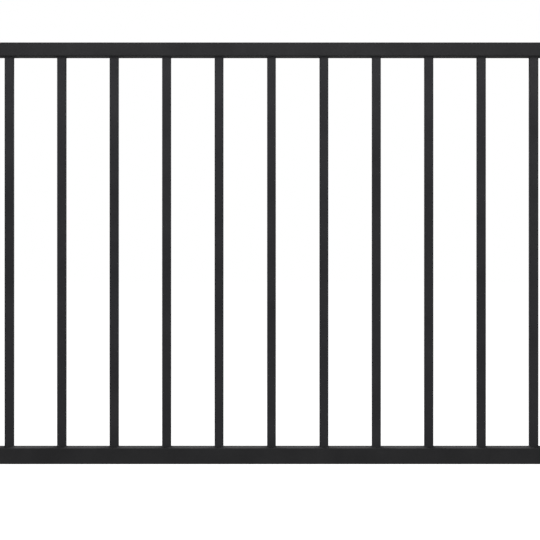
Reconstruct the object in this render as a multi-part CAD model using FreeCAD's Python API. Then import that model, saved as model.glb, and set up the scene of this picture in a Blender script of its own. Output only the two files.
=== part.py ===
"""Deck railing section: a welded steel panel with a screw-on bracket at each rail end.

Two rectangular tubes carry a row of square tube balusters. Each baluster is butted between
the rails and fillet welded to them all round at both ends. Each rail end stands in the
sleeve of a bracket, and the bracket's flange is screwed to a post.

Sizes are in millimetres. The origin is the centre of the lower left bracket's post face.
+X runs along the rails to the right-hand post, +Y from front to back, and +Z up.
"""

import FreeCAD
import Part
import os

from FreeCAD import Vector

# Whole section
POST_OPENING = 1816.0  # clear distance between the two post faces
PANEL_HEIGHT = 914.4  # underside of the bottom rail to the top of the top rail

# Rails, rectangular tube
RAIL_DEPTH = 50.8
TOP_RAIL_HEIGHT = 29.4
BOTTOM_RAIL_HEIGHT = 35.0
RAIL_WALL = 1.5
RAIL_CORNER = 3.0  # outside radius of the tube's corners

# Balusters, square tube
BALUSTER_WIDTH = 19.05
BALUSTER_WALL = 1.2
BALUSTER_CORNER = 2.4  # outside radius of the tube's corners
BALUSTER_PITCH = 114.3  # centre to centre
END_SPACE = 20.0  # least clear space between a bracket's sleeve and a baluster

# Fillet welds round the baluster ends
WELD_LEG = 2.0
WELD_TOE = 0.3  # thickness left where the weld runs out on the baluster

# Brackets
FLANGE_THICKNESS = 4.0
FLANGE_MARGIN = 3.05  # flange beyond each side of the sleeve
FLANGE_CORNER = 6.0
EAR_HEIGHT = 18.0  # flange above and below the sleeve, where the screws go
SLEEVE_WALL = 3.0
SLEEVE_LENGTH = 30.0
SLEEVE_CLEARANCE = 0.3  # between the rail and the sleeve, on each side
SCREW_HOLE = 6.5  # diameter
BRACKET_ROOT = 1.5  # radius in the corner between sleeve and flange, where the margin has room
BRACKET_EDGE = 1.0  # radius on the outer edges of sleeve and flange, where the walls have room

SAME_PLACE = 0.001  # points closer together than this are one point

ALONG = Vector(1, 0, 0)
ACROSS = Vector(0, 1, 0)
UP = Vector(0, 0, 1)

# Heights of the rails' centre lines, and of the faces that the balusters meet
BOTTOM_RAIL_Z = 0.0
BOTTOM_RAIL_TOP = BOTTOM_RAIL_Z + BOTTOM_RAIL_HEIGHT / 2
TOP_RAIL_Z = BOTTOM_RAIL_Z - BOTTOM_RAIL_HEIGHT / 2 + PANEL_HEIGHT - TOP_RAIL_HEIGHT / 2
TOP_RAIL_UNDERSIDE = TOP_RAIL_Z - TOP_RAIL_HEIGHT / 2


def outline(centre, side, rise, width, height, corner):
    """Wire of a rectangle with rounded corners, about a centre, in the plane of side and rise."""

    def point(x, y):
        return centre + side * x + rise * y

    half_width, half_height = width / 2, height / 2
    if corner <= 0:
        signs = ((1, 1), (-1, 1), (-1, -1), (1, -1), (1, 1))
        return Part.makePolygon([point(sx * half_width, sy * half_height) for sx, sy in signs])
    flat_width, flat_height = half_width - corner, half_height - corner
    diagonal = corner * 0.5**0.5
    arcs = []
    for sx, sy in ((1, 1), (-1, 1), (-1, -1), (1, -1)):
        beside = point(sx * half_width, sy * flat_height)
        middle = point(sx * (flat_width + diagonal), sy * (flat_height + diagonal))
        above = point(sx * flat_width, sy * half_height)
        ends = (beside, above) if sx == sy else (above, beside)
        arcs.append(Part.Arc(ends[0], middle, ends[1]).toShape())
    edges = []
    for arc, following in zip(arcs, arcs[1:] + arcs[:1]):
        edges.append(arc)
        edges.append(Part.makeLine(arc.lastVertex(True).Point, following.firstVertex(True).Point))
    return Part.Wire(edges)


def prism(wires, run):
    """Solid swept from the region between an outer wire and any wires inside it."""
    return Part.makeFace(wires, "Part::FaceMakerBullseye").extrude(run)


def tube(centre, side, rise, width, height, wall, corner, run):
    """Rectangular tube with its first end about a centre, swept along run."""
    outer = outline(centre, side, rise, width, height, corner)
    inner = outline(centre, side, rise, width - 2 * wall, height - 2 * wall, corner - wall)
    return prism([outer, inner], run)


def rail(centre_height, height):
    """Tube that runs from one bracket's flange to the other's."""
    start = ALONG * FLANGE_THICKNESS + UP * centre_height
    run = ALONG * (POST_OPENING - 2 * FLANGE_THICKNESS)
    return tube(start, ACROSS, UP, RAIL_DEPTH, height, RAIL_WALL, RAIL_CORNER, run)


def baluster_places():
    """X of each baluster's centre line: as many as fit, about the middle of the opening."""
    taken = FLANGE_THICKNESS + SLEEVE_LENGTH + END_SPACE + BALUSTER_WIDTH / 2
    count = int((POST_OPENING - 2 * taken) / BALUSTER_PITCH) + 1
    first = (POST_OPENING - (count - 1) * BALUSTER_PITCH) / 2
    return [first + index * BALUSTER_PITCH for index in range(count)]


def baluster(x):
    """Square tube butted between the two rails."""
    start = ALONG * x + UP * BOTTOM_RAIL_TOP
    run = UP * (TOP_RAIL_UNDERSIDE - BOTTOM_RAIL_TOP)
    return tube(start, ALONG, ACROSS, BALUSTER_WIDTH, BALUSTER_WIDTH, BALUSTER_WALL, BALUSTER_CORNER, run)


def weld(x, rail_face, away):
    """Fillet weld round one baluster end, on a rail's face and rising from it along away."""
    root = ALONG * x + UP * rail_face
    top = root + away * WELD_LEG

    def ring(centre, leg):
        width = BALUSTER_WIDTH + 2 * leg
        return outline(centre, ALONG, ACROSS, width, width, BALUSTER_CORNER + leg)

    body = Part.makeLoft([ring(root, WELD_LEG), ring(top, WELD_TOE)], True, True)
    return body.cut(prism([ring(root, 0)], away * WELD_LEG))


def rounded(solid, radius, path):
    """The solid with those of its edges that lie on a wire rounded to a radius."""
    edges = []
    for edge in solid.Edges:
        middle = edge.valueAt((edge.FirstParameter + edge.LastParameter) / 2)
        if path.distToShape(Part.Vertex(middle))[0] < SAME_PLACE:
            edges.append(edge)
    return solid.makeFillet(radius, edges)


def bracket(post_face_x, inward, centre_height, rail_height):
    """Flange with two screw ears, and the sleeve that a rail end stands in."""
    grip = 2 * (SLEEVE_CLEARANCE + SLEEVE_WALL)
    sleeve_width = RAIL_DEPTH + grip
    sleeve_height = rail_height + grip
    sleeve_corner = RAIL_CORNER + SLEEVE_CLEARANCE + SLEEVE_WALL
    flange_width = sleeve_width + 2 * FLANGE_MARGIN
    flange_height = sleeve_height + 2 * EAR_HEIGHT
    root_radius = min(BRACKET_ROOT, FLANGE_MARGIN / 2)
    edge_radius = min(BRACKET_EDGE, FLANGE_MARGIN / 3, FLANGE_THICKNESS / 2, SLEEVE_WALL / 2)

    face = ALONG * post_face_x + UP * centre_height
    seat = face + inward * FLANGE_THICKNESS
    mouth = seat + inward * SLEEVE_LENGTH

    def flange_outline(centre):
        return outline(centre, ACROSS, UP, flange_width, flange_height, FLANGE_CORNER)

    def sleeve_outline(centre):
        return outline(centre, ACROSS, UP, sleeve_width, sleeve_height, sleeve_corner)

    flange = prism([flange_outline(face)], inward * FLANGE_THICKNESS)
    flange = rounded(flange, edge_radius, flange_outline(seat))
    sleeve = tube(
        seat, ACROSS, UP, sleeve_width, sleeve_height, SLEEVE_WALL, sleeve_corner, inward * SLEEVE_LENGTH
    )
    sleeve = rounded(sleeve, edge_radius, sleeve_outline(mouth))
    body = rounded(flange.fuse(sleeve).removeSplitter(), root_radius, sleeve_outline(seat))
    for direction in (UP, -UP):
        hole = face + direction * (sleeve_height + EAR_HEIGHT) / 2
        body = body.cut(Part.makeCylinder(SCREW_HOLE / 2, FLANGE_THICKNESS, hole, inward))
    return body


def section():
    """Every piece of the railing section, by name."""
    places = baluster_places()
    pieces = {
        "top_rail": rail(TOP_RAIL_Z, TOP_RAIL_HEIGHT),
        "bottom_rail": rail(BOTTOM_RAIL_Z, BOTTOM_RAIL_HEIGHT),
    }
    for number, x in enumerate(places, start=1):
        pieces[f"baluster_{number:02d}"] = baluster(x)
    pieces["top_welds"] = Part.makeCompound([weld(x, TOP_RAIL_UNDERSIDE, -UP) for x in places])
    pieces["bottom_welds"] = Part.makeCompound([weld(x, BOTTOM_RAIL_TOP, UP) for x in places])
    for side, post_face_x, inward in (("left", 0.0, ALONG), ("right", POST_OPENING, -ALONG)):
        pieces[f"top_{side}_bracket"] = bracket(post_face_x, inward, TOP_RAIL_Z, TOP_RAIL_HEIGHT)
        pieces[f"bottom_{side}_bracket"] = bracket(post_face_x, inward, BOTTOM_RAIL_Z, BOTTOM_RAIL_HEIGHT)
    return pieces


os.makedirs("parts", exist_ok=True)
for name, shape in section().items():
    print(f"{name}: {len(shape.Solids)} solid(s), {shape.Volume / 1000:.1f} cm3, valid {shape.isValid()}")
    shape.exportStep(f"parts/{name}.step")
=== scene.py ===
"""Dress the deck railing section and set it in a white studio.

The section is one welded panel of steel tube with a screw-on bracket at each rail end, all in
a matte black powder coat. The smooth tubes, the rippled weld beads and the screws under the
sleeves are modelled here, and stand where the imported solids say. The brackets keep their solids.
Sizes are in metres, and MM turns millimetres to metres.
"""

from __future__ import annotations

import logging
import math
from collections.abc import Callable
from dataclasses import dataclass
from enum import Enum

import bmesh
import bpy
from mathutils import Matrix, Vector

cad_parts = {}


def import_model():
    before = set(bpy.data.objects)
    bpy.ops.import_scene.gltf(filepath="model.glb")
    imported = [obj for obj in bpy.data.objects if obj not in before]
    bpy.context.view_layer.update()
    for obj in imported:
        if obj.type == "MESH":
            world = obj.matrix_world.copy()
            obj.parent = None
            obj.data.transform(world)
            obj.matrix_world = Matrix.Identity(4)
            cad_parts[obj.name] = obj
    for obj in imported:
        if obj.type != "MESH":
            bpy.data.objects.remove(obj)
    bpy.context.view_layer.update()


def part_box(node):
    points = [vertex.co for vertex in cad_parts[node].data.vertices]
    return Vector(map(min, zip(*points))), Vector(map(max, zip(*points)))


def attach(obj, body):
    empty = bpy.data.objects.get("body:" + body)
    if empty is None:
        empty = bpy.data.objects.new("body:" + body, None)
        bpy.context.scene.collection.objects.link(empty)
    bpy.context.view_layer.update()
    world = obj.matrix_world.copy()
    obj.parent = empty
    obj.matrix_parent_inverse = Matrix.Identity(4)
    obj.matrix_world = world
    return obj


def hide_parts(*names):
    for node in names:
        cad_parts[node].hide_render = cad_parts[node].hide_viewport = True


LOG = logging.getLogger("railing")
MM = 0.001
BODY = "root"
BALUSTER_COUNT = 15
BALUSTERS = tuple(f"baluster_{number:02d}" for number in range(1, BALUSTER_COUNT + 1))
BALUSTER_CORNER = 2.4 * MM
MIDDLE_X = 0.908  # half way between the posts
PARALLEL = 0.999  # least cosine between two lines that count as parallel
CORNER_STEPS = 6  # flat steps round a quarter turn
SHARP_DEGREES = 40.0  # an edge that turns more than this stays sharp
FINE_LAYERS = 2.0  # layers of ever finer noise in a fine pattern
WHITE = "#ffffff"


class Level(Enum):
    """The two rails, and what goes with each of them."""

    TOP = "top"
    BOTTOM = "bottom"


class Side(Enum):
    """The two ends of the section."""

    LEFT = "left"
    RIGHT = "right"


class Run(Enum):
    """The two ways that tubes run."""

    ALONG = Vector((1.0, 0.0, 0.0))
    UP = Vector((0.0, 0.0, 1.0))


class Slot(Enum):
    """The record's material slots."""

    RAILS = "rails"
    BALUSTERS = "balusters"
    WELDS = "welds"
    BRACKETS = "brackets"


class Element(Enum):
    """What a mesh is made of, as edit mode names it."""

    VERTEX = "VERT"
    EDGE = "EDGE"
    FACE = "FACE"


def linear(colour: str) -> tuple[float, float, float, float]:
    """Turn an sRGB hex colour to linear.

    Args:
        colour: six hex digits after a number sign.

    Returns:
        Red, green, blue and an alpha of 1, as a shader's socket takes them.
    """
    levels = [int(colour[start : start + 2], 16) / 255 for start in (1, 3, 5)]
    red, green, blue = (v / 12.92 if v <= 0.04045 else ((v + 0.055) / 1.055) ** 2.4 for v in levels)
    return red, green, blue, 1.0


def add_node(tree: bpy.types.NodeTree, kind: str, **inputs: object) -> bpy.types.Node:
    """Add a shader node with its settings and links.

    Args:
        tree: the material's or the world's node tree.
        kind: the node's type, without the prefix ShaderNode.
        inputs: a value or an output socket by the name of the input that takes it, or a value by
            the name of the node's own property. An underscore in an input's name stands for a
            space, and an underscore with a number after it for the input of that number.

    Returns:
        The new node.
    """
    node = tree.nodes.new("ShaderNode" + kind)
    for name, value in inputs.items():
        if hasattr(node, name):
            setattr(node, name, value)
    for name, value in inputs.items():
        if hasattr(node, name):
            continue
        index = int(name[1:]) if name[0] == "_" else name.replace("_", " ")
        if isinstance(value, bpy.types.NodeSocket):
            tree.links.new(value, node.inputs[index])
        else:
            node.inputs[index].default_value = value
    return node


def new_material(name: str) -> bpy.types.Material:
    """Add a material with an empty node tree.

    Args:
        name: the finish's name.

    Returns:
        The material, to which nodes are then added.
    """
    material = bpy.data.materials.new(name)
    material.use_nodes = True
    material.node_tree.nodes.clear()
    return material


@dataclass(frozen=True)
class PowderCoat:
    """Matte black polyester powder coat with a fine sand texture, sprayed dry on steel and baked.

    The grains of the powder stay as a fine grit that scatters light, so the eye gets a soft, even
    black without a mirror image, a little paler where the film is thick. Real grit is some 0.3 mm
    wide and is drawn wider here, so that it shows from arm's length. The film's thickness drifts
    slowly along a bar.
    """

    name: str
    thin: str  # colour where the film is thin
    thick: str  # colour where the film is thick
    film_range: tuple[float, float] = (0.35, 0.65)  # the noise that counts as thin and as thick
    roughness: float = 0.9
    roughness_swing: float = 0.06  # how far a smooth or a rough grain departs from that
    specular: float = 0.06
    drift_mm: float = 90.0  # length over which the film's thickness drifts
    drift_layers: float = 3.0
    grit_mm: float = 0.8  # width of a grain as it is drawn
    grit_height_mm: float = 0.04
    grit_range: tuple[float, float] = (0.3, 0.7)  # the noise of a smooth and of a rough grain
    grit_share: float = 0.6  # share of the colour's range that follows the grit

    def material(self) -> bpy.types.Material:
        """Build the finish.

        Returns:
            The material, for all pieces that were coated together.
        """
        material = new_material(self.name)
        tree = material.node_tree
        place = add_node(tree, "TexCoord").outputs["Object"]
        drift = add_node(
            tree, "TexNoise", Vector=place, Scale=1 / (self.drift_mm * MM), Detail=self.drift_layers
        )
        grit = add_node(
            tree, "TexNoise", Vector=place, Scale=1 / (self.grit_mm * MM), Detail=FINE_LAYERS
        )
        film = add_node(
            tree,
            "Mix",
            Factor=self.grit_share,
            A=drift.outputs["Fac"],
            B=grit.outputs["Fac"],
        )
        colour = add_node(tree, "ValToRGB", Fac=film.outputs["Result"])
        stops = colour.color_ramp.elements
        for stop, noise, tone in zip(stops, self.film_range, (self.thin, self.thick)):
            stop.position = noise
            stop.color = linear(tone)
        gloss = add_node(
            tree,
            "MapRange",
            Value=grit.outputs["Fac"],
            From_Min=self.grit_range[0],
            From_Max=self.grit_range[1],
            To_Min=self.roughness - self.roughness_swing,
            To_Max=self.roughness + self.roughness_swing,
        )
        relief = add_node(
            tree,
            "Bump",
            Strength=1.0,
            Distance=self.grit_height_mm * MM,
            Height=grit.outputs["Fac"],
        )
        coat = add_node(
            tree,
            "BsdfPrincipled",
            Base_Color=colour.outputs["Color"],
            Roughness=gloss.outputs["Result"],
            Specular_IOR_Level=self.specular,
            Normal=relief.outputs["Normal"],
        )
        add_node(tree, "OutputMaterial", Surface=coat.outputs["BSDF"])
        return material


# The bars are coloured a little paler than the rails
RAIL_COAT = PowderCoat("matte_black_powder_coat_rails", thin="#232324", thick="#2f2f30")
BAR_COAT = PowderCoat("matte_black_powder_coat_bars", thin="#272729", thick="#333335")


@dataclass(frozen=True)
class BlackOxideSteel:
    """Black oxide on a cold-formed screw: dark, oily metal with fine draw marks."""

    name: str = "black_oxide_steel"
    dark: str = "#2b2b2d"
    light: str = "#3a3a3c"
    roughness: float = 0.42
    mark_mm: float = 0.6

    def material(self) -> bpy.types.Material:
        """Build the finish.

        Returns:
            The material of the screws.
        """
        material = new_material(self.name)
        tree = material.node_tree
        place = add_node(tree, "TexCoord").outputs["Object"]
        marks = add_node(
            tree, "TexNoise", Vector=place, Scale=1 / (self.mark_mm * MM), Detail=FINE_LAYERS
        )
        colour = add_node(tree, "ValToRGB", Fac=marks.outputs["Fac"])
        for stop, tone in zip(colour.color_ramp.elements, (self.dark, self.light)):
            stop.color = linear(tone)
        steel = add_node(
            tree,
            "BsdfPrincipled",
            Base_Color=colour.outputs["Color"],
            Metallic=1.0,
            Roughness=self.roughness,
        )
        add_node(tree, "OutputMaterial", Surface=steel.outputs["BSDF"])
        return material


def start_piece(name: str) -> None:
    """Leave object mode's selection empty before a piece is modelled.

    Args:
        name: the piece that is about to be modelled, for the log.
    """
    LOG.info("modelling %s", name)
    bpy.ops.object.select_all(action="DESELECT")


def open_piece(name: str) -> bpy.types.Object:
    """Name the primitive that was just added, and open it in edit mode with all of it selected.

    Args:
        name: the piece's name.

    Returns:
        The piece, in edit mode.
    """
    piece = bpy.context.object
    piece.name = piece.data.name = name
    bpy.ops.object.mode_set(mode="EDIT")
    bpy.ops.mesh.select_all(action="SELECT")
    return piece


def choose(element: Element, test: Callable[[Vector, Vector], bool]) -> None:
    """Select vertices, edges or faces of the mesh in edit mode by their place and direction.

    Args:
        element: what is selected.
        test: takes the element's middle point and its direction, which is a vertex's or a face's
            normal or the line of an edge, and says whether the element is selected.
    """
    bpy.ops.mesh.select_mode(type=element.value)
    bpy.ops.mesh.select_all(action="DESELECT")
    mesh = bmesh.from_edit_mesh(bpy.context.object.data)
    if element is Element.VERTEX:
        for vertex in mesh.verts:
            vertex.select_set(test(vertex.co, vertex.normal))
    elif element is Element.EDGE:
        for edge in mesh.edges:
            first, last = (vertex.co for vertex in edge.verts)
            edge.select_set(test((first + last) / 2, (last - first).normalized()))
    else:
        for face in mesh.faces:
            face.select_set(test(face.calc_center_median(), face.normal))
    mesh.select_flush_mode()
    bmesh.update_edit_mesh(bpy.context.object.data)


def lift(height: float) -> None:
    """Raise what is selected by a height."""
    bpy.ops.transform.translate(value=(0.0, 0.0, height))


def draw_up(height: float) -> None:
    """Extrude the selected faces up by a height."""
    bpy.ops.mesh.extrude_region_move(TRANSFORM_OT_translate={"value": (0.0, 0.0, height)})


def face_outwards() -> None:
    """Select the whole mesh and turn its faces outwards."""
    bpy.ops.mesh.select_all(action="SELECT")
    bpy.ops.mesh.normals_make_consistent(inside=False)


def turn_over() -> None:
    """Turn what is selected upside down about the origin."""
    bpy.ops.transform.rotate(value=math.pi, orient_axis="X", center_override=(0.0, 0.0, 0.0))


def add_block(name: str, low: Vector, high: Vector) -> bpy.types.Object:
    """Add a cube stretched to a box, in edit mode, with its object at the origin.

    Args:
        name: the piece's name.
        low: the box's lowest corner.
        high: the box's highest corner.

    Returns:
        The piece, which is left in edit mode.
    """
    start_piece(name)
    bpy.ops.mesh.primitive_cube_add(size=1.0)
    piece = open_piece(name)
    bpy.ops.transform.resize(value=high - low)
    bpy.ops.transform.translate(value=(low + high) / 2)
    return piece


def finish_piece(piece: bpy.types.Object) -> None:
    """Leave edit mode and shade a piece smooth, with its flat faces kept flat.

    Args:
        piece: the piece that is in edit mode.
    """
    bpy.ops.object.mode_set(mode="OBJECT")
    bpy.ops.object.shade_smooth_by_angle(angle=math.radians(SHARP_DEGREES))
    bpy.ops.object.modifier_add(type="WEIGHTED_NORMAL")
    piece.modifiers[-1].keep_sharp = True
    bpy.ops.object.modifier_apply(modifier=piece.modifiers[-1].name)


def add_tube(
    name: str, low: Vector, high: Vector, run: Run, wall: float, corner: float
) -> bpy.types.Object:
    """Model a rectangular tube: round a block's long edges, then hollow it from end to end.

    Args:
        name: the piece's name.
        low: the tube's lowest corner.
        high: the tube's highest corner.
        run: the way the tube runs.
        wall: the thickness of its wall.
        corner: the outside radius of its corners.

    Returns:
        The finished tube.
    """
    piece = add_block(name, low, high)
    choose(Element.EDGE, lambda middle, line: abs(line.dot(run.value)) > PARALLEL)
    bpy.ops.mesh.bevel(offset=corner, segments=CORNER_STEPS, affect="EDGES")
    choose(Element.FACE, lambda middle, normal: abs(normal.dot(run.value)) > PARALLEL)
    bpy.ops.mesh.inset(thickness=wall, use_individual=True)
    bpy.ops.mesh.bridge_edge_loops()
    finish_piece(piece)
    return piece


def copy_of(piece: bpy.types.Object, name: str, offset: Vector) -> bpy.types.Object:
    """Copy a piece with a mesh of its own.

    Args:
        piece: the piece that was modelled.
        name: the copy's name.
        offset: how far the copy stands from the piece.

    Returns:
        The copy, whose place is in its mesh.
    """
    mesh = piece.data.copy()
    mesh.transform(Matrix.Translation(offset))
    copy = bpy.data.objects.new(name, mesh)
    copy.data.name = name
    bpy.context.collection.objects.link(copy)
    return copy


def seat(piece: bpy.types.Object, material: bpy.types.Material, slot: str, *nodes: str) -> None:
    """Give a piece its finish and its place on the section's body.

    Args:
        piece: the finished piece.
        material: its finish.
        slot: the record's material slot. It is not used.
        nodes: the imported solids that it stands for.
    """
    piece.data.materials.clear()
    piece.data.materials.append(material)
    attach(piece, BODY)
    if nodes:
        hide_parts(*nodes)
    LOG.info("%s: %d faces", piece.name, len(piece.data.polygons))


@dataclass
class Rail:
    """A rectangular tube that runs the length of the section."""

    level: Level
    wall: float = 1.5 * MM
    corner: float = 3.0 * MM

    @property
    def node(self) -> str:
        """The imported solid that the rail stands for."""
        return f"{self.level.value}_rail"

    def build(self) -> bpy.types.Object:
        """Model the rail's tube."""
        low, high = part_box(self.node)
        return add_tube(f"{self.node}_tube", low, high, Run.ALONG, self.wall, self.corner)

    def dress(self, material: bpy.types.Material) -> None:
        """Build the rail and coat it."""
        seat(self.build(), material, Slot.RAILS.value, self.node)


@dataclass
class BalusterRow:
    """The square tubes between the rails."""

    nodes: tuple[str, ...] = BALUSTERS
    wall: float = 1.2 * MM
    corner: float = BALUSTER_CORNER

    def build(self) -> list[bpy.types.Object]:
        """Model the first baluster and copy it along the row.

        Returns:
            The balusters, in the order of their nodes.
        """
        low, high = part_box(self.nodes[0])
        first = add_tube(f"{self.nodes[0]}_tube", low, high, Run.UP, self.wall, self.corner)
        others = [copy_of(first, f"{node}_tube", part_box(node)[0] - low) for node in self.nodes[1:]]
        return [first, *others]

    def dress(self, material: bpy.types.Material) -> None:
        """Build the balusters and coat them."""
        for node, piece in zip(self.nodes, self.build()):
            seat(piece, material, Slot.BALUSTERS.value, node)


@dataclass
class WeldRow:
    """The fillet welds round the baluster ends at one rail, with the ripples of a hand-run bead."""

    level: Level
    leg: float = 2.0 * MM
    swell: float = 0.2 * MM  # what the edges are drawn past the leg, because smoothing pulls them in
    belly: float = 1.25 * MM  # height of the bead's middle, and its distance from the baluster
    root: float = 0.5 * MM  # depth that the bead is sunk into rail and baluster
    ripple: float = 0.4 * MM  # height of a ripple's crest before it is smoothed
    sway: float = 0.1 * MM  # how unevenly the hand laid the bead
    sway_seed: int = 4
    side_stations: int = 20  # stations along a flat side, two to a ripple
    smoothing: int = 1  # how many times each face is divided to round the bead
    baluster_corner: float = BALUSTER_CORNER

    @property
    def node(self) -> str:
        """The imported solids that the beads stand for."""
        return f"{self.level.value}_welds"

    @property
    def reach(self) -> float:
        """How far the bead's edges are drawn from the baluster and from the rail."""
        return self.leg + self.swell

    def on_crest(self, place: Vector, half_side: float) -> bool:
        """Say whether a point of the bead lies on a ripple's crest.

        Args:
            place: the point, from the middle of the baluster's end.
            half_side: half the length of the baluster's flat side.

        Returns:
            True at every second station along the sides and round the corners.
        """
        past_x, past_y = abs(place.x) - half_side, abs(place.y) - half_side
        if past_x > 0 and past_y > 0:
            station = math.atan2(past_y, past_x) / (math.pi / 2) * CORNER_STEPS
        else:
            along = place.x if past_x < past_y else place.y
            station = (along / half_side + 1) / 2 * self.side_stations
        return round(station) % 2 == 1

    def lay_ring(self, width: float, half_side: float) -> bpy.types.Object:
        """Model the smooth ring of one bead round the origin, from the plane it stands on.

        Args:
            width: the baluster's width.
            half_side: half the length of the baluster's flat side.

        Returns:
            The ring, which is left in edit mode.
        """
        name = f"{self.level.value}_weld_beads"
        start_piece(name)
        bpy.ops.mesh.primitive_plane_add(size=width + 2 * self.reach)
        piece = open_piece(name)
        lift(-self.root)
        corner = self.baluster_corner + self.reach
        bpy.ops.mesh.bevel(offset=corner, segments=CORNER_STEPS, affect="VERTICES")
        choose(Element.EDGE, lambda middle, line: max(abs(line.x), abs(line.y)) > PARALLEL)
        bpy.ops.mesh.subdivide(number_cuts=self.side_stations - 1)

        # The section of the bead: up to the rail's face, in over the belly, then in to the baluster
        choose(Element.FACE, lambda middle, normal: True)
        draw_up(self.root)
        outer = self.reach - self.belly
        for inward, upward in ((outer, self.belly), (self.belly, outer)):
            bpy.ops.mesh.inset(thickness=inward)
            lift(upward)

        # The hole for the baluster
        bpy.ops.mesh.inset(thickness=self.root)
        choose(
            Element.FACE,
            lambda middle, normal: middle.z < -self.root / 2 and normal.z < -PARALLEL,
        )
        bpy.ops.mesh.inset(thickness=self.reach + self.root)
        choose(
            Element.FACE,
            lambda middle, normal: abs(normal.z) > PARALLEL and middle.xy.length < half_side / 2,
        )
        bpy.ops.mesh.bridge_edge_loops()
        return piece

    def ripple_ring(self, half_side: float) -> None:
        """Raise ripples over the belly of the ring in edit mode, then lay it as unevenly as a hand.

        Args:
            half_side: half the length of the baluster's flat side.
        """
        choose(
            Element.VERTEX,
            lambda place, normal: self.belly / 2 < place.z < self.leg
            and self.on_crest(place, half_side),
        )
        bpy.ops.transform.shrink_fatten(value=self.ripple)
        choose(Element.VERTEX, lambda place, normal: -self.root / 2 < place.z < self.leg)
        bpy.ops.transform.vertex_random(offset=self.sway, seed=self.sway_seed)

    def build(self) -> bpy.types.Object:
        """Model the first baluster's bead, and repeat it along the row.

        Returns:
            All beads of the rail as one piece.
        """
        low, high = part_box(BALUSTERS[0])
        width = high.x - low.x
        half_side = width / 2 - self.baluster_corner
        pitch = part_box(BALUSTERS[1])[0].x - low.x

        piece = self.lay_ring(width, half_side)
        self.ripple_ring(half_side)
        face_outwards()
        foot = low.z
        if self.level is Level.TOP:
            turn_over()
            foot = high.z
        bpy.ops.transform.translate(value=((low.x + high.x) / 2, (low.y + high.y) / 2, foot))
        bpy.ops.object.mode_set(mode="OBJECT")
        bpy.ops.object.shade_smooth()

        bpy.ops.object.modifier_add(type="SUBSURF")
        smooth = piece.modifiers[-1]
        smooth.levels = smooth.render_levels = self.smoothing
        bpy.ops.object.modifier_apply(modifier=smooth.name)
        bpy.ops.object.modifier_add(type="ARRAY")
        row = piece.modifiers[-1]
        row.count = BALUSTER_COUNT
        row.use_relative_offset = False
        row.use_constant_offset = True
        row.constant_offset_displace = (pitch, 0.0, 0.0)
        bpy.ops.object.modifier_apply(modifier=row.name)
        return piece

    def dress(self, material: bpy.types.Material) -> None:
        """Build the beads and coat them."""
        seat(self.build(), material, Slot.WELDS.value, self.node)


@dataclass
class Bracket:
    """A rail end's bracket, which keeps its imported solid."""

    level: Level
    side: Side
    flange: float = 4.0 * MM
    sleeve_length: float = 30.0 * MM
    sleeve_wall: float = 3.0 * MM
    sleeve_gap: float = 0.3 * MM

    @property
    def node(self) -> str:
        """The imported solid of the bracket."""
        return f"{self.level.value}_{self.side.value}_bracket"

    @property
    def screw_name(self) -> str:
        """The piece that pins the rail in the sleeve."""
        return f"{self.level.value}_{self.side.value}_sleeve_screw"

    def screw_seat(self) -> Vector:
        """Find where the screw goes into the sleeve.

        Returns:
            The middle of the sleeve's underside.
        """
        low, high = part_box(self.node)
        rail_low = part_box(f"{self.level.value}_rail")[0]
        inward = self.flange + self.sleeve_length / 2
        x = low.x + inward if self.side is Side.LEFT else high.x - inward
        return Vector((x, (low.y + high.y) / 2, rail_low.z - self.sleeve_gap - self.sleeve_wall))

    def dress(self, material: bpy.types.Material) -> None:
        """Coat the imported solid.

        Args:
            material: the coat.
        """
        solid = bpy.data.objects[self.node]
        solid.data.materials.clear()
        solid.data.materials.append(material)
        LOG.info("%s: coated", self.node)


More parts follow.
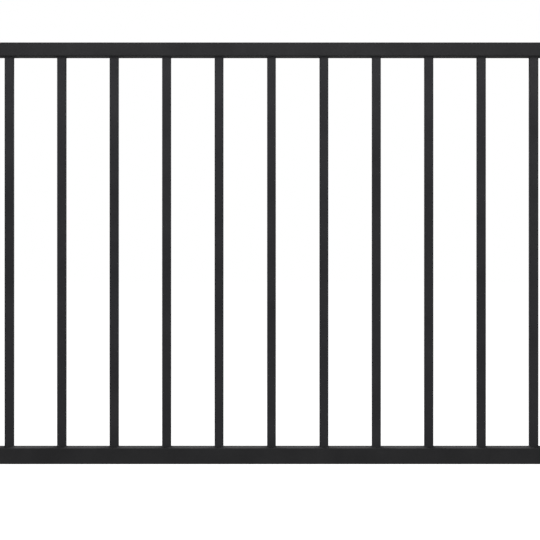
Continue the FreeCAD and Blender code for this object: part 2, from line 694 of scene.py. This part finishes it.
@dataclass
class SleeveScrew:
    """The screw that pins a rail in its sleeve from below, of which the hex washer head shows."""

    across_flats: float = 8.0 * MM
    flats: int = 6
    head_height: float = 3.6 * MM
    washer_diameter: float = 10.6 * MM
    washer_height: float = 1.1 * MM
    washer_stations: int = 48  # points round the washer
    washer_rim_steps: int = 3  # flat steps round the washer's rim
    edge: float = 0.25 * MM  # bevel of the rims, and height of the step between washer and head
    edge_steps: int = 2  # flat steps round the head's edges
    crown: float = 1.0 * MM  # width of the rim round the dish in the head's top
    dish: float = 0.6 * MM  # depth of that dish

    def build(self, name: str, hole: Vector) -> bpy.types.Object:
        """Model the head from its washer up, then turn it to hang under a sleeve.

        Args:
            name: the piece's name.
            hole: the point of the sleeve's underside that the screw goes through.

        Returns:
            The screw's head.
        """
        start_piece(name)
        bpy.ops.mesh.primitive_circle_add(
            vertices=self.washer_stations, radius=self.washer_diameter / 2, fill_type="NGON"
        )
        piece = open_piece(name)
        draw_up(self.washer_height)
        just_below = self.washer_height - self.edge / 2
        choose(Element.EDGE, lambda middle, line: middle.z > just_below)
        bpy.ops.mesh.bevel(offset=self.edge, segments=self.washer_rim_steps, affect="EDGES")

        # The hexagon over the washer, and the cone that joins them
        bpy.ops.mesh.select_all(action="DESELECT")
        hexagon_z = self.washer_height + self.edge
        bpy.ops.mesh.primitive_circle_add(
            vertices=self.flats,
            radius=self.across_flats / 2 / math.cos(math.pi / self.flats),
            fill_type="NGON",
            location=(0.0, 0.0, hexagon_z),
        )
        choose(
            Element.FACE,
            lambda middle, normal: middle.z > just_below and middle.xy.length < self.edge,
        )
        bpy.ops.mesh.bridge_edge_loops()

        # The head, drawn up from the hexagon, with a dish in its top
        choose(
            Element.FACE,
            lambda middle, normal: middle.z > hexagon_z - self.edge / 2 and abs(normal.z) > PARALLEL,
        )
        draw_up(self.head_height)
        choose(Element.EDGE, lambda middle, line: middle.z > hexagon_z + self.edge)
        bpy.ops.mesh.bevel(offset=self.edge, segments=self.edge_steps, affect="EDGES")
        near_top = hexagon_z + self.head_height - self.edge / 2
        choose(
            Element.FACE,
            lambda middle, normal: middle.z > near_top and abs(normal.z) > PARALLEL,
        )
        bpy.ops.mesh.inset(thickness=self.crown)
        bpy.ops.mesh.inset(thickness=self.dish)
        lift(-self.dish)

        face_outwards()
        turn_over()
        bpy.ops.transform.translate(value=hole)
        finish_piece(piece)
        return piece

    def dress(self, brackets: list[Bracket], material: bpy.types.Material) -> None:
        """Build the first bracket's screw, copy it to the others, and finish them all.

        Args:
            brackets: the brackets whose sleeves are pinned.
            material: the screws' finish.
        """
        first = brackets[0]
        screw = self.build(first.screw_name, first.screw_seat())
        seat(screw, material, Slot.BRACKETS.value)
        for bracket in brackets[1:]:
            offset = bracket.screw_seat() - first.screw_seat()
            seat(copy_of(screw, bracket.screw_name, offset), material, Slot.BRACKETS.value)


@dataclass(frozen=True)
class Softbox:
    """A rectangular lamp behind a diffuser."""

    name: str
    place: tuple[float, float, float]
    aim: tuple[float, float, float]
    size: tuple[float, float]
    power: float

    def hang(self) -> None:
        """Hang the lamp at its place and turn it to what it lights."""
        lamp = bpy.data.lights.new(self.name, "AREA")
        lamp.shape = "RECTANGLE"
        lamp.size, lamp.size_y = self.size
        lamp.energy = self.power
        box = bpy.data.objects.new(self.name, lamp)
        bpy.context.collection.objects.link(box)
        box.location = self.place
        direction = Vector(self.aim) - Vector(self.place)
        box.rotation_euler = direction.to_track_quat("-Z", "Y").to_euler()
        box.visible_camera = False
        LOG.info("%s: %.1f W", self.name, self.power)


# Close before the top rail: brings up its face and the heads of the bars
STRIP = Softbox(
    "strip_softbox",
    place=(MIDDLE_X, -0.3, 0.95),
    aim=(MIDDLE_X, 0.0, 0.92),
    size=(2.6, 0.1),
    power=2.2,
)
# Behind the camera: gives the fronts of bars and rails their plain tone
FRONT = Softbox(
    "front_softbox",
    place=(MIDDLE_X, -4.6, 0.7),
    aim=(MIDDLE_X, 0.0, 0.45),
    size=(1.6, 2.4),
    power=176.0,
)
# High over the back: lights the top faces, and lets each bar shade the rail before its foot
OVERHEAD = Softbox(
    "overhead_softbox",
    place=(MIDDLE_X, 1.0, 2.6),
    aim=(MIDDLE_X, 0.0, 0.05),
    size=(1.8, 0.5),
    power=145.0,
)


@dataclass
class Studio:
    """The white studio: a pale floor, soft lamps and a plain camera."""

    floor_z: float = -0.2
    floor_size: float = 60.0
    floor_colour: str = "#888888"
    near_glow: float = 0.8  # share of white that the floor gives by itself beside the section
    near_distance: float = 1.6  # as far as this from the middle, the floor glows no more than that
    white_distance: float = 3.2  # from here on the floor is white by itself
    ambient: float = 0.1
    softboxes: tuple[Softbox, ...] = (STRIP, FRONT, OVERHEAD)
    camera_place: tuple[float, float, float] = (0.9048, -3.7604, 0.4485)
    camera_lens: float = 114.94  # in millimetres, as the sensor's width is
    camera_sensor: float = 36.0
    camera_shift: float = -0.0385  # share of the picture that the frame is dropped by

    @staticmethod
    def seen_directly(tree: bpy.types.NodeTree) -> bpy.types.NodeSocket:
        """Add the test for rays that show the background itself.

        Args:
            tree: the node tree of the floor or the world.

        Returns:
            A socket that is 1 for camera, glossy and transmission rays.
        """
        path = add_node(tree, "LightPath").outputs
        first = add_node(
            tree, "Math", operation="MAXIMUM", _0=path["Is Camera Ray"], _1=path["Is Glossy Ray"]
        )
        both = add_node(
            tree, "Math", operation="MAXIMUM", _0=first.outputs[0], _1=path["Is Transmission Ray"]
        )
        return both.outputs[0]

    def build_floor(self) -> None:
        """Lay the pale floor."""
        start_piece("studio_floor")
        bpy.ops.mesh.primitive_plane_add(
            size=self.floor_size, location=(MIDDLE_X, 0.0, self.floor_z)
        )
        floor = bpy.context.object
        floor.name = "studio_floor"

        # Matte paint without shine. It glows where it is seen, so that the eye gets white, with the
        # section's shadow left as a pale grey
        material = new_material("pale_studio_floor")
        tree = material.node_tree
        paint = add_node(tree, "BsdfDiffuse", Color=linear(self.floor_colour))
        place = add_node(tree, "TexCoord").outputs["Object"]
        distance = add_node(tree, "VectorMath", operation="LENGTH", _0=place)
        white = add_node(
            tree,
            "MapRange",
            Value=distance.outputs["Value"],
            From_Min=self.near_distance,
            From_Max=self.white_distance,
            To_Min=self.near_glow,
            To_Max=1.0,
        )
        glow = add_node(tree, "Emission", Strength=white.outputs["Result"])
        dark = add_node(tree, "Emission", Strength=0.0)
        seen = add_node(
            tree,
            "MixShader",
            Fac=self.seen_directly(tree),
            _1=dark.outputs[0],
            _2=glow.outputs[0],
        )
        both = add_node(tree, "AddShader", _0=paint.outputs[0], _1=seen.outputs[0])
        add_node(tree, "OutputMaterial", Surface=both.outputs[0])
        floor.data.materials.append(material)

    def build_world(self) -> None:
        """Surround the section with soft light, white where it is seen directly."""
        world = bpy.data.worlds.new("white_studio")
        bpy.context.scene.world = world
        world.use_nodes = True
        tree = world.node_tree
        tree.nodes.clear()
        fill = add_node(tree, "Background", Color=linear(WHITE), Strength=self.ambient)
        white = add_node(tree, "Background", Color=linear(WHITE), Strength=1.0)
        both = add_node(
            tree,
            "MixShader",
            Fac=self.seen_directly(tree),
            _1=fill.outputs[0],
            _2=white.outputs[0],
        )
        add_node(tree, "OutputWorld", Surface=both.outputs[0])

    def build_camera(self) -> None:
        """Stand the camera in front of the middle of the section, level, at half its height."""
        lens = bpy.data.cameras.new("front_camera")
        lens.lens = self.camera_lens
        lens.sensor_width = self.camera_sensor
        lens.shift_y = self.camera_shift
        camera = bpy.data.objects.new("front_camera", lens)
        bpy.context.collection.objects.link(camera)
        camera.location = self.camera_place
        camera.rotation_euler = (math.pi / 2, 0.0, 0.0)
        bpy.context.scene.camera = camera

    def build(self) -> None:
        """Set up the floor, the light and the camera."""
        self.build_floor()
        self.build_world()
        for softbox in self.softboxes:
            softbox.hang()
        self.build_camera()
        bpy.context.scene.view_settings.view_transform = "Standard"


def main() -> None:
    """Build the section piece by piece, then the studio."""
    logging.basicConfig(level=logging.INFO, format="%(message)s")
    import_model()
    rail_coat = RAIL_COAT.material()
    bar_coat = BAR_COAT.material()
    for level in Level:
        Rail(level).dress(rail_coat)
        WeldRow(level).dress(bar_coat)
    brackets = [Bracket(level, side) for level in Level for side in Side]
    for bracket in brackets:
        bracket.dress(rail_coat)
    SleeveScrew().dress(brackets, BlackOxideSteel().material())
    BalusterRow().dress(bar_coat)
    Studio().build()


if __name__ == "__main__":
    main()
